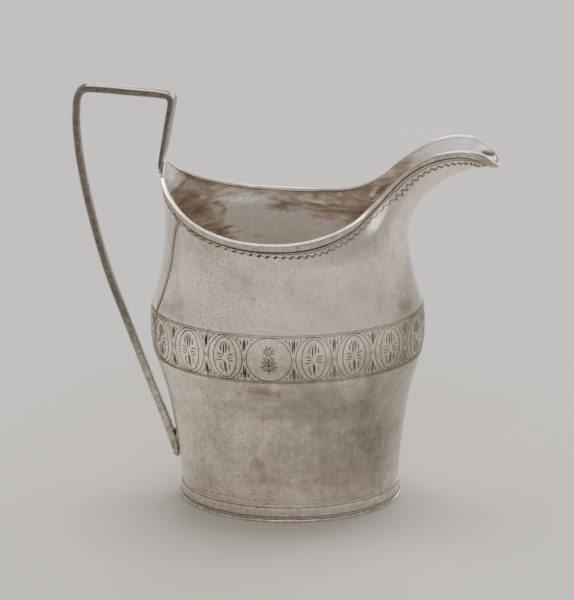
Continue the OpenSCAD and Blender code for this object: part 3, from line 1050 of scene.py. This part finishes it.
def foot_border():
    """A row of dots along each edge of the foot strip, and scallops on the wall above it."""
    dot_gap = 0.58
    lower_dots_h = 1.85
    upper_dots_h = foot_band_h - 0.55
    scallop_gap = 2.8
    scallop_h = 6.9
    around = foot_run[-1]
    cuts = Engraving(on_foot_strip)
    count = round(around / dot_gap)
    xs = np.arange(count) * around / count
    cuts.dots(xs, upper_dots_h, 0.46)
    cuts.dots(xs, lower_dots_h, 0.5)
    scallops = round(around / scallop_gap)
    for k in range(scallops):
        x = k * around / scallops
        cuts.bow(x + 0.3, scallop_h, x + 2.3, scallop_h, 0.35, 0.2)
    return cuts.piece("foot_engraving", "silver_base")


foot_border()


# ---- floor, light and camera ----

def floor_piece():
    """A wide pale floor with a painted shadow close to the jug, a little darker and warmer there."""
    n = 24
    reach = 6000
    span = np.linspace(-reach, reach, n)
    points = [(x, y, 0.0) for y in span for x in span]
    corners = [j * n + i for j in range(n - 1) for i in range(n - 1)]
    faces = [(k, k + 1, k + n + 1, k + n) for k in corners]
    look = Look("pale_floor")
    tone = look.noise(120, 3, 0.5)
    colour = look.mix(look.grade(tone, 0.3, 0.7), (0.63, 0.612, 0.582), (0.67, 0.652, 0.622))
    far = look.node("ShaderNodeVectorMath", {"operation": "LENGTH"}, i0=look.place()).outputs["Value"]
    # Painted shadow, warmed as by light thrown back from the jug, within about 150 mm of it.
    colour = look.mix(look.grade(far, 50 * MM, 150 * MM), (0.62, 0.588, 0.535), colour)
    mesh = bpy.data.meshes.new("floor")
    mesh.from_pydata((np.array(points) * MM).tolist(), [], faces)
    mesh.materials.append(look.done(Base_Color=colour, Roughness=0.9))
    floor = bpy.data.objects.new("floor", mesh)
    bpy.context.scene.collection.objects.link(floor)


floor_piece()


def studio_light(name, place, size, power, colour=(1, 1, 1), aim=(0, 0, 0.06)):
    """A soft box at a place, in metres, turned towards aim."""
    data = bpy.data.lights.new(name, "AREA")
    data.shape = "RECTANGLE"
    data.size, data.size_y = size
    data.energy = power
    data.color = colour
    lamp = bpy.data.objects.new(name, data)
    lamp.location = place
    lamp.rotation_euler = (Vector(aim) - Vector(place)).to_track_quat("-Z", "Y").to_euler()
    bpy.context.scene.collection.objects.link(lamp)


studio_light("overhead", (0.05, 0.25, 1.5), (0.8, 0.5), 17, colour=(1.0, 0.985, 0.955))
studio_light("front_fill", (0.0, -1.3, 1.6), (1.2, 1.0), 6, aim=(0, -0.7, 0))
studio_light("back_panel", (1.0, 2.6, 0.75), (3.4, 1.5), 68)


def surroundings():
    """A pale room, a little brighter towards the floor than overhead."""
    world = bpy.data.worlds.new("studio")
    world.use_nodes = True
    bpy.context.scene.world = world
    nodes, links = world.node_tree.nodes, world.node_tree.links
    where = nodes.new("ShaderNodeTexCoord")
    parts = nodes.new("ShaderNodeSeparateXYZ")
    ramp = nodes.new("ShaderNodeValToRGB")
    ramp.color_ramp.elements[0].position = 0.0
    ramp.color_ramp.elements[0].color = (1.1, 1.075, 1.02, 1)
    ramp.color_ramp.elements[1].position = 0.8
    ramp.color_ramp.elements[1].color = (0.62, 0.61, 0.59, 1)
    links.new(where.outputs["Generated"], parts.inputs[0])
    links.new(parts.outputs["Z"], ramp.inputs["Fac"])
    links.new(ramp.outputs["Color"], nodes["Background"].inputs["Color"])
    nodes["Background"].inputs["Strength"].default_value = 0.6


surroundings()


def camera():
    """The photograph's view: from a little above, almost square to the jug's long side."""
    rise, swing, tilt = math.radians(21.5), math.radians(3), math.radians(-1)
    distance = 1.030
    aim = Vector((-0.00009, 0, 0.06275))
    back = Vector((math.sin(swing) * math.cos(rise), -math.cos(swing) * math.cos(rise), math.sin(rise)))
    right = Vector((0, 0, 1)).cross(back).normalized()
    up = back.cross(right)
    right, up = right * math.cos(tilt) + up * math.sin(tilt), up * math.cos(tilt) - right * math.sin(tilt)
    data = bpy.data.cameras.new("camera")
    data.sensor_width = 36
    data.lens = 206
    data.clip_start, data.clip_end = 0.01, 100
    eye = bpy.data.objects.new("camera", data)
    facing = Matrix((right, up, back)).transposed().to_4x4()
    eye.matrix_world = Matrix.Translation(aim + back * distance) @ facing
    bpy.context.scene.collection.objects.link(eye)
    bpy.context.scene.camera = eye


camera()
